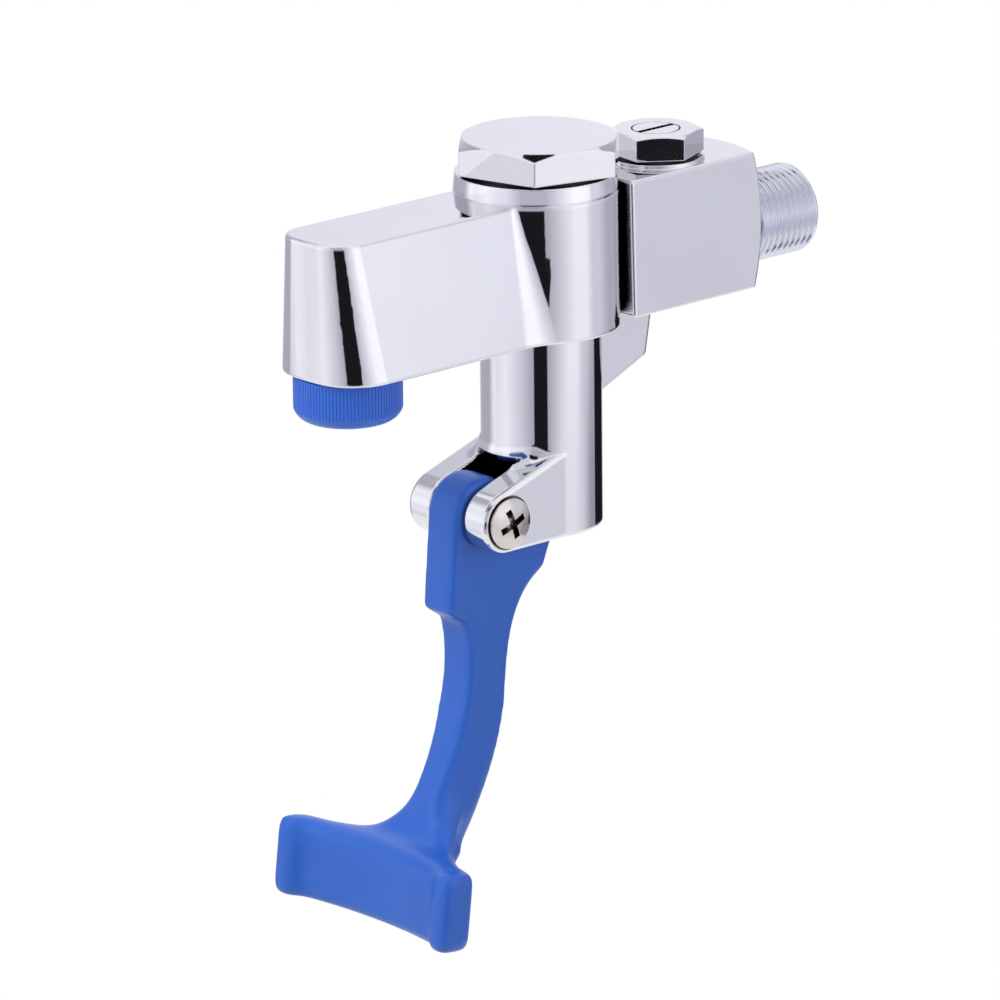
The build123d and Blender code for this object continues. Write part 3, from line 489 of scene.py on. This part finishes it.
for skin, turns in skins:
    for turn in range(turns):
        bmesh.ops.smooth_vert(form, verts=skin, factor=0.5, **every_axis)
for face in form.faces:
    face.smooth = True
form.to_mesh(lever_moulding.data)
form.free()
coat(lever_moulding, "blue_lever_plastic")
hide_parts("lever")
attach(lever_moulding, "lever")


# Casting, lower part: stalk and clevis ears, drawn over their rounded form
VALVE_Y = -60.0
PIVOT_Y = -82.0
PIVOT_Z = -52.8
STALK_RADIUS = 13.9
STALK_TOP = -12.86
STALK_FOOT = -60.0
STALK_EDGE = 1.3
EAR_RADIUS = 7.2
EAR_HALF_WIDTH = 13.2
EAR_SLOPE = math.radians(18.5)
EAR_RIM = 1.25
EAR_ROOT = 3.5
ROOT_FADE = 4.0
ROOT_SIDE_GAP = 0.4
EAR_TAPER = 1.5
EAR_TAPER_START = 2.5
SEAM_ROUND = 0.2
SLOT_HALF_WIDTH = 5.7
SLOT_TOP = -42.4
SLOT_RIM = 0.7
BUSH_BORE_RADIUS = 9.0
BUSH_BORE_TOP = -25.0
SPOTFACE_RADIUS = 6.2
SPOTFACE_X = 12.7
PIN_BORE_RADIUS = 4.0
PIN_CUTTER_REACH = 14.5
PIN_CUTTER_STEPS = 72
PLATE_STEPS = 64
PLATE_BACK = 0.5
SKIN_VOXEL = 0.38 * MM

# Drawing of the skin onto its rounded form
DRAW_TURNS = 7
DRAW_LIMIT = 0.8
LEAST_SLOPE = 0.25
WALL_TOP_GAP = 0.2
SLOPE_STEP = 0.01
ON_SKIN = 0.01
FACING_SKIN = 0.8
SHARP_EDGE = 40

# Reach of the painted pocket shade's marks, and what the stalk's faces lie within
POCKET_EASE = 0.1
POCKET_FRONT = 2
SEAM_DROP = 0.05
STALK_EASE = 0.04
EARS_FRONT = 10
CASTING_SHARP_EDGE = 24


def rounded_corner(first, second, radius):
    """Distance to the space inside two walls, the edge between them rounded."""
    outside = numpy.hypot(numpy.maximum(first + radius, 0), numpy.maximum(second + radius, 0))
    return outside + numpy.minimum(numpy.maximum(first, second) + radius, 0) - radius


def stalk_distance(x, y, z):
    """Distance in millimetres to the upright stalk with its rounded foot."""
    return rounded_corner(numpy.hypot(x, y - VALVE_Y) - STALK_RADIUS, STALK_FOOT - z, STALK_EDGE)


def ears_distance(x, y, z):
    """Distance to the ears' plate, slot not cut, its rims rounded."""
    behind, above = y - PIVOT_Y, z - PIVOT_Z
    top = above * math.cos(EAR_SLOPE) - behind * math.sin(EAR_SLOPE)
    along = behind * math.cos(EAR_SLOPE) + above * math.sin(EAR_SLOPE)
    straight = ((along > 0) & (top >= -above)) | ((behind > 0) & (-above > top))
    outline = numpy.where(straight, numpy.maximum(top, -above), numpy.hypot(behind, above)) - EAR_RADIUS
    drawn_in = EAR_TAPER * numpy.maximum(y - VALVE_Y + EAR_TAPER_START, 0)
    flank = (numpy.abs(x) - EAR_HALF_WIDTH + drawn_in) / math.hypot(1, EAR_TAPER)
    flank = numpy.where(drawn_in > 0, flank, numpy.abs(x) - EAR_HALF_WIDTH)
    return rounded_corner(outline, flank, EAR_RIM)


def slope_of(distance, x, y, z):
    """Direction in which a distance grows fastest, and how fast."""
    step = SLOPE_STEP
    return numpy.stack((
        distance(x + step, y, z) - distance(x - step, y, z),
        distance(x, y + step, z) - distance(x, y - step, z),
        distance(x, y, z + step) - distance(x, y, z - step),
    ), axis=1) / (2 * step)


def ease(share):
    """Share from 0 to 1, its ends smoothed."""
    return share ** 2 * (3 - 2 * share)


def lower_casting_distance(x, y, z):
    """Distance to the stalk with its ears, blended by a root fillet, slot and bush bore cut."""
    stalk = stalk_distance(x, y, z)
    ears = ears_distance(x, y, z)
    above_plate = (z - PIVOT_Z) * math.cos(EAR_SLOPE) - (y - PIVOT_Y) * math.sin(EAR_SLOPE) - EAR_RADIUS
    near_top = numpy.clip(1 + above_plate / ROOT_FADE, 0, 1)
    inboard = numpy.clip((EAR_HALF_WIDTH - ROOT_SIDE_GAP - numpy.abs(x)) / ROOT_FADE, 0, 1)
    root = EAR_ROOT * ease(near_top) * ease(inboard) + SEAM_ROUND
    blended = numpy.maximum(root, numpy.minimum(stalk, ears)) - numpy.hypot(
        numpy.maximum(root - stalk, 0), numpy.maximum(root - ears, 0)
    )
    slot = numpy.maximum(numpy.maximum(numpy.abs(x) - SLOT_HALF_WIDTH, z - SLOT_TOP), y - VALVE_Y)
    bore = numpy.maximum(numpy.hypot(x, y - VALVE_Y) - BUSH_BORE_RADIUS, z - BUSH_BORE_TOP)
    return rounded_corner(blended, -numpy.minimum(slot, bore), SLOT_RIM)


def add_block(form, low, high):
    """Box between two corners given in millimetres."""
    middle = (Vector(low) + Vector(high)) / 2 * MM
    size = (Vector(high) - Vector(low)) * MM
    bmesh.ops.create_cube(form, size=1, matrix=Matrix.Translation(middle) @ Matrix.Diagonal((*size, 1)))


def add_bar(form, radius, y, low, high, segments=96):
    """Upright cylinder on the axis at y, sizes in millimetres."""
    bmesh.ops.create_cone(
        form,
        cap_ends=True,
        segments=segments,
        radius1=radius * MM,
        radius2=radius * MM,
        depth=(high - low) * MM,
        matrix=Matrix.Translation((0, y * MM, (low + high) / 2 * MM)),
    )


def new_piece(name, form):
    """Object made from a form, then the form is given up."""
    bmesh.ops.recalc_face_normals(form, faces=form.faces)
    mesh = bpy.data.meshes.new(name)
    form.to_mesh(mesh)
    form.free()
    piece = bpy.data.objects.new(name, mesh)
    bpy.context.scene.collection.objects.link(piece)
    return piece


def cut_away(piece, cutter):
    """Takes a cutter's space out of a piece, then removes the cutter."""
    cut = piece.modifiers.new("cut", "BOOLEAN")
    cut.operation = "DIFFERENCE"
    cut.solver = "EXACT"
    cut.object = cutter
    settle(piece)
    bpy.data.objects.remove(cutter)


form = bmesh.new()
add_bar(form, STALK_RADIUS, VALVE_Y, STALK_FOOT, STALK_TOP)
stalk_and_ears = new_piece("stalk_and_ears", form)
form = bmesh.new()
plate_turn = Matrix.Rotation(math.pi / 2, 4, "Y")
plate_middle = Matrix.Translation((0, PIVOT_Y * MM, PIVOT_Z * MM))
bmesh.ops.create_cone(
    form,
    cap_ends=True,
    segments=PLATE_STEPS,
    radius1=EAR_RADIUS * MM,
    radius2=EAR_RADIUS * MM,
    depth=2 * EAR_HALF_WIDTH * MM,
    matrix=plate_middle @ plate_turn,
)
plate_back = EAR_RADIUS / math.cos(EAR_SLOPE) + (VALVE_Y - PIVOT_Y) * math.tan(EAR_SLOPE)
add_block(
    form,
    (-EAR_HALF_WIDTH, VALVE_Y - PLATE_BACK, STALK_FOOT),
    (EAR_HALF_WIDTH, VALVE_Y, PIVOT_Z + plate_back),
)
bmesh.ops.delete(form, geom=form.edges[:] + form.faces[:], context="EDGES_FACES")
hull = bmesh.ops.convex_hull(form, input=form.verts)
spare = [part for part in hull["geom_interior"] if isinstance(part, bmesh.types.BMVert)]
bmesh.ops.delete(form, geom=spare, context="VERTS")
ears = new_piece("ears", form)
skin = stalk_and_ears.modifiers.new("join", "BOOLEAN")
skin.operation = "UNION"
skin.solver = "EXACT"
skin.object = ears
settle(stalk_and_ears)
bpy.data.objects.remove(ears)
form = bmesh.new()
add_block(
    form,
    (-SLOT_HALF_WIDTH, PIVOT_Y - 2 * EAR_RADIUS, STALK_FOOT - EAR_RADIUS),
    (SLOT_HALF_WIDTH, VALVE_Y, SLOT_TOP),
)
cut_away(stalk_and_ears, new_piece("slot_cutter", form))
form = bmesh.new()
add_bar(form, BUSH_BORE_RADIUS, VALVE_Y, STALK_FOOT - EAR_RADIUS, BUSH_BORE_TOP)
cut_away(stalk_and_ears, new_piece("bore_cutter", form))
skin = stalk_and_ears.modifiers.new("skin", "REMESH")
skin.mode = "VOXEL"
skin.voxel_size = SKIN_VOXEL
settle(stalk_and_ears)

# Each point of the skin is drawn onto the rounded form, but for the flat top inside the body
mesh = stalk_and_ears.data
points = numpy.empty(len(mesh.vertices) * 3)
mesh.vertices.foreach_get("co", points)
points = points.reshape(-1, 3) / MM
on_wall = points[:, 2] < STALK_TOP - WALL_TOP_GAP
for turn in range(DRAW_TURNS):
    x, y, z = points.T
    gap = lower_casting_distance(x, y, z)
    grown = slope_of(lower_casting_distance, x, y, z)
    strength = numpy.maximum((grown ** 2).sum(axis=1), LEAST_SLOPE)
    points -= (numpy.clip(gap, -DRAW_LIMIT, DRAW_LIMIT) / strength * on_wall)[:, None] * grown
mesh.vertices.foreach_set("co", (points * MM).ravel())
mesh.update()

form = bmesh.new()
turned = (
    (-PIN_CUTTER_REACH, 0),
    (-PIN_CUTTER_REACH, SPOTFACE_RADIUS),
    (-SPOTFACE_X, SPOTFACE_RADIUS),
    (-SPOTFACE_X, PIN_BORE_RADIUS),
    (SPOTFACE_X, PIN_BORE_RADIUS),
    (SPOTFACE_X, SPOTFACE_RADIUS),
    (PIN_CUTTER_REACH, SPOTFACE_RADIUS),
    (PIN_CUTTER_REACH, 0),
)
line = [form.verts.new((x * MM, PIVOT_Y * MM, (PIVOT_Z + r) * MM)) for x, r in turned]
rims = [form.edges.new(pair) for pair in zip(line, line[1:])]
bmesh.ops.spin(
    form,
    geom=line + rims,
    cent=(0, PIVOT_Y * MM, PIVOT_Z * MM),
    axis=(1, 0, 0),
    angle=2 * math.pi,
    steps=PIN_CUTTER_STEPS,
    use_merge=True,
)
bmesh.ops.remove_doubles(form, verts=form.verts, dist=MERGE_GAP)
cut_away(stalk_and_ears, new_piece("pin_cutter", form))


def shade(piece, sharp_degrees):
    """Smooth shading, but for edges sharper than an angle."""
    form = bmesh.new()
    form.from_mesh(piece.data)
    for face in form.faces:
        face.smooth = True
    for edge in form.edges:
        edge.smooth = edge.calc_face_angle(math.pi) < math.radians(sharp_degrees)
    form.to_mesh(piece.data)
    form.free()


shade(stalk_and_ears, SHARP_EDGE)

# Corners on the rounded skin take the form's own slope for their normals
mesh = stalk_and_ears.data
points = numpy.empty(len(mesh.vertices) * 3)
mesh.vertices.foreach_get("co", points)
x, y, z = points.reshape(-1, 3).T / MM
gap = lower_casting_distance(x, y, z)
grown = slope_of(lower_casting_distance, x, y, z)
grown /= numpy.maximum(numpy.linalg.norm(grown, axis=1), SLOPE_STEP)[:, None]
on_skin = (numpy.abs(gap) < ON_SKIN) & (z < STALK_TOP - WALL_TOP_GAP)
chosen = [loop.vector.copy() for loop in mesh.corner_normals]
for face in mesh.polygons:
    for corner in face.loop_indices:
        index = mesh.loops[corner].vertex_index
        slope = Vector(grown[index])
        if on_skin[index] and slope.dot(face.normal) > FACING_SKIN:
            chosen[corner] = slope
mesh.normals_split_custom_set(chosen)

# Painted shade inside the slot and the bore: their points are marked and painted nearly black. The mark has
# no limit behind, so it also takes in the stalk's back wall within the slot's width below the slot's top
mesh = stalk_and_ears.data
pocket_shade = mesh.attributes.new("pocket_shade", "FLOAT", "POINT")
for vert in mesh.vertices:
    x, y, z = vert.co / MM
    between_ears = abs(x) < SLOT_HALF_WIDTH + POCKET_EASE and y > PIVOT_Y - POCKET_FRONT
    in_slot = between_ears and z < SLOT_TOP + POCKET_EASE
    in_bore = math.hypot(x, y - VALVE_Y) < BUSH_BORE_RADIUS + POCKET_EASE and z < STALK_TOP - 1
    pocket_shade.data[vert.index].value = 1.0 if in_slot or in_bore else 0.0

# Casting, upper part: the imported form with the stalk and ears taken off
upper_casting = merged_copy("body_casting", "upper_casting")
form = bmesh.new()
form.from_mesh(upper_casting.data)


def in_stalk_or_ears(face):
    """Whether a face belongs to the stalk, its ears or the bores inside them."""
    if face.calc_center_median().z > (STALK_TOP - SEAM_DROP) * MM:
        return False
    return all(
        math.hypot(vert.co.x, vert.co.y - VALVE_Y * MM) < (STALK_RADIUS + STALK_EASE) * MM
        or (PIVOT_Y - EARS_FRONT) * MM < vert.co.y < VALVE_Y * MM
        for vert in face.verts
    )


spare = [face for face in form.faces if in_stalk_or_ears(face)]
bmesh.ops.delete(form, geom=spare, context="FACES")
rims = [edge for edge in form.edges if edge.is_boundary]
bmesh.ops.holes_fill(form, edges=rims, sides=0)
bmesh.ops.triangulate(form, faces=[face for face in form.faces if len(face.verts) > 4])
bmesh.ops.recalc_face_normals(form, faces=form.faces)
form.to_mesh(upper_casting.data)
form.free()
shade(upper_casting, CASTING_SHARP_EDGE)
take_normals(upper_casting, "body_casting")
for piece in (stalk_and_ears, upper_casting):
    coat(piece, "chromed_casting")
    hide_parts("body_casting")
    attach(piece, "body")


# Return spring: a smoothly shaded copy of the imported coil, fixed where it stands in place of its node
spring_coil = merged_copy("return_spring", "spring_coil")
shade(spring_coil, SHARP_EDGE)
take_normals(spring_coil, "return_spring")
coat(spring_coil, "spring_steel")
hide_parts("return_spring")
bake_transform(spring_coil)


# Studio: white floor and background, a tent and black panels that only reflections see
def seen_in_reflections(name, form, material):
    """Studio piece made from a form, which camera, light and shadow pass by. The form is given up."""
    mesh = bpy.data.meshes.new(name)
    form.to_mesh(mesh)
    form.free()
    mesh.materials.append(material)
    piece = bpy.data.objects.new(name, mesh)
    bpy.context.scene.collection.objects.link(piece)
    piece.visible_camera = False
    piece.visible_diffuse = False
    piece.visible_volume_scatter = False
    piece.visible_shadow = False
    return piece


def white_background(tree):
    """1 for the rays that show the background: camera, glossy and transmission rays."""
    rays = put(tree, "ShaderNodeLightPath").outputs
    gloss = put(
        tree,
        "ShaderNodeMath",
        {0: rays["Is Camera Ray"], 1: rays["Is Glossy Ray"]},
        operation="MAXIMUM",
    )
    shown = put(
        tree,
        "ShaderNodeMath",
        {0: gloss.outputs["Value"], 1: rays["Is Transmission Ray"]},
        operation="MAXIMUM",
    )
    return shown.outputs["Value"]


WORLD_LIGHT = 0.42
world = bpy.data.worlds.new("studio")
bpy.context.scene.world = world
world.use_nodes = True
world.node_tree.nodes.clear()
sky = put(
    world.node_tree,
    "ShaderNodeMix",
    {"Factor": white_background(world.node_tree), "A": WORLD_LIGHT, "B": 1.0},
)
shine = put(
    world.node_tree,
    "ShaderNodeBackground",
    {"Color": (1, 1, 1, 1), "Strength": sky.outputs["Result"]},
)
put(world.node_tree, "ShaderNodeOutputWorld", {"Surface": shine.outputs["Background"]})

FLOOR_DROP = 900 * MM
FLOOR_SIZE = 8
floor_mesh = bpy.data.meshes.new("floor")
form = bmesh.new()
bmesh.ops.create_grid(form, x_segments=2, y_segments=2, size=FLOOR_SIZE)
bmesh.ops.translate(form, vec=(0, 0, -FLOOR_DROP), verts=form.verts)
form.to_mesh(floor_mesh)
form.free()
floor = bpy.data.objects.new("floor", floor_mesh)
bpy.context.scene.collection.objects.link(floor)
floor_material, tree = new_material("white_floor_paint")
paint = put(tree, "ShaderNodeBsdfDiffuse", {"Color": hex_colour("F6F6F6")})
glow = put(tree, "ShaderNodeEmission", {"Color": (1, 1, 1, 1), "Strength": 1.0})
floor_mix = put(
    tree,
    "ShaderNodeMixShader",
    {0: white_background(tree), 1: paint.outputs["BSDF"], 2: glow.outputs["Emission"]},
)
finish_material(floor_material, floor_mix.outputs["Shader"])
floor_mesh.materials.append(floor_material)


# Light tent: a cloth wall in five greys, each at a turn in degrees from the camera's side. They give the
# chrome its light and dark bands
TENT_RADIUS = 1.4
TENT_TOP = 1.3
TENT_FOOT = -FLOOR_DROP
TENT_STEPS = 96
BRIGHT = hex_colour("EAEAF0")
LIGHT = hex_colour("DEDEE6")
MIDDLE = hex_colour("C8C8D2")
DIM = hex_colour("A6A6B1")
DARK = hex_colour("92929D")
LOW_CLOTH = (
    (-180, LIGHT), (-166, MIDDLE), (-152, DIM), (-118, DIM), (-92, BRIGHT), (-64, BRIGHT), (-40, MIDDLE),
    (-15, DIM), (12, DIM), (36, LIGHT), (62, LIGHT), (84, MIDDLE), (104, DARK), (134, DARK), (156, DIM),
    (167, MIDDLE), (180, LIGHT),
)
HIGH_CLOTH = (
    (-180, LIGHT), (-162, MIDDLE), (-152, DIM), (-113, DIM), (-100, BRIGHT), (-90, LIGHT), (-70, BRIGHT),
    (-38, MIDDLE), (-20, DIM), (12, DIM), (52, BRIGHT), (70, BRIGHT), (82, MIDDLE), (94, MIDDLE),
    (116, DIM), (156, DIM), (164, MIDDLE), (180, LIGHT),
)
CLOTH_SEAM = (-0.48, -0.41)
LOWER_RISE = (-0.26, -0.08)
LOWER_POWER = (1.27, 1.5)
UPPER_FALL = (0.1, 0.35)
UPPER_POWER = (1.0, 0.87)


def tent_shader(name):
    """Glowing cloth: a low and a high row of greys that meet at a seam, brightest half way up."""
    material, tree = new_material(name)
    place = put(tree, "ShaderNodeTexCoord").outputs["Object"]
    turned = put(
        tree,
        "ShaderNodeMapping",
        {"Vector": place, "Rotation": (0, 0, math.pi / 2 - CAMERA_AZIMUTH)},
        vector_type="POINT",
    )
    split = put(tree, "ShaderNodeSeparateXYZ", {"Vector": turned.outputs["Vector"]})
    angle = put(
        tree,
        "ShaderNodeMath",
        {0: split.outputs["Y"], 1: split.outputs["X"]},
        operation="ARCTAN2",
    )
    share = put(
        tree,
        "ShaderNodeMapRange",
        {"Value": angle.outputs["Value"], "From Min": -math.pi, "From Max": math.pi},
    )
    rows = []
    for greys in (LOW_CLOTH, HIGH_CLOTH):
        ramp = put(tree, "ShaderNodeValToRGB", {"Fac": share.outputs["Result"]})
        stops = ramp.color_ramp.elements
        while len(stops) > 1:
            stops.remove(stops[-1])
        for degrees, grey in greys:
            stops.new((degrees + 180) / 360).color = grey
        stops.remove(stops[0])
        rows.append(ramp.outputs["Color"])
    height = put(
        tree,
        "ShaderNodeMapRange",
        {"Value": split.outputs["Z"], "From Min": CLOTH_SEAM[0], "From Max": CLOTH_SEAM[1]},
    )
    tone = put(
        tree,
        "ShaderNodeMix",
        {"Factor": height.outputs["Result"], "A": rows[0], "B": rows[1]},
        data_type="RGBA",
    )
    lower_power = put(
        tree,
        "ShaderNodeMapRange",
        {
            "Value": split.outputs["Z"],
            "From Min": LOWER_RISE[0],
            "From Max": LOWER_RISE[1],
            "To Min": LOWER_POWER[0],
            "To Max": LOWER_POWER[1],
        },
    )
    upper_power = put(
        tree,
        "ShaderNodeMapRange",
        {
            "Value": split.outputs["Z"],
            "From Min": UPPER_FALL[0],
            "From Max": UPPER_FALL[1],
            "To Min": UPPER_POWER[0],
            "To Max": UPPER_POWER[1],
        },
    )
    power = put(
        tree,
        "ShaderNodeMath",
        {0: lower_power.outputs["Result"], 1: upper_power.outputs["Result"]},
        operation="MULTIPLY",
    )
    cloth = put(
        tree,
        "ShaderNodeEmission",
        {"Color": tone.outputs["Result"], "Strength": power.outputs["Value"]},
    )
    return finish_material(material, cloth.outputs["Emission"])


form = bmesh.new()
bmesh.ops.create_cone(
    form,
    cap_ends=False,
    segments=TENT_STEPS,
    radius1=TENT_RADIUS,
    radius2=TENT_RADIUS,
    depth=TENT_TOP - TENT_FOOT,
)
bmesh.ops.translate(form, vec=(0, 0, (TENT_TOP + TENT_FOOT) / 2), verts=form.verts)
tent = seen_in_reflections("light_tent", form, tent_shader("tent_cloth"))


def direction(azimuth, height, reach):
    """Point at a turn from the camera's side and a height, both in degrees."""
    turn = math.radians(azimuth) + math.atan2(back.y, back.x)
    rise = math.radians(height)
    level = reach * math.cos(rise)
    return Vector((
        level * math.cos(turn),
        level * math.sin(turn) + CAMERA_AIM.y,
        reach * math.sin(rise),
    ))


velvet, tree = new_material("black_velvet")
dull = put(tree, "ShaderNodeEmission", {"Color": hex_colour("1B1C20"), "Strength": 1.0})
finish_material(velvet, dull.outputs["Emission"])


def black_panel(name, reach, corners):
    """Flat black flag for reflections, its corners given as turn and height seen from the object."""
    form = bmesh.new()
    form.faces.new([form.verts.new(direction(*corner, reach)) for corner in corners])
    panel = seen_in_reflections(name, form, velvet)


# In front, near the camera: the dark bands down the boss, the stalk and the spout's nose
black_panel("front_panel", 1.1, (
    (-14, -22), (11.5, -22), (11.5, -15.4), (18, -15.2), (18, -9), (14, -3), (-22, -3), (-20, -9),
    (-14, -15),
))
# Above the camera: the dark in the chamfers
black_panel("high_panel", 1.1, ((-35, 31), (12, 31), (13, 47), (-36, 47)))
# Behind on the right: the band down the stalk's right edge, and the gap beside the block
black_panel("rear_panel", 0.7, (
    (118, -25), (158, -25), (158, -15.4), (178, -15.3), (178, -9), (140, -9), (140, -15.3), (118, -15.4),
))
# Overhead: the small wedge above the cap's front corner
black_panel("ceiling_panel", 1.2, ((164, 63), (196, 63), (202, 76), (158, 76)))


# Lamps: turn from the camera's side and height in degrees, reach and size in metres, power in watts
def soft_box(name, azimuth, height, reach, size, power):
    """Square area lamp aimed at the object's middle, not seen in reflections."""
    data = bpy.data.lights.new(name, "AREA")
    data.size = size
    data.energy = power
    lamp = bpy.data.objects.new(name, data)
    lamp.location = direction(azimuth, height, reach)
    lamp.rotation_euler = (CAMERA_AIM - lamp.location).to_track_quat("-Z", "Y").to_euler()
    bpy.context.scene.collection.objects.link(lamp)
    lamp.visible_glossy = False


soft_box("key_lamp", -60, 38, 1.2, 0.9, 9)
soft_box("side_lamp", 60, 20, 1.2, 0.8, 3.2)
soft_box("top_lamp", 150, 70, 1.3, 0.8, 4)
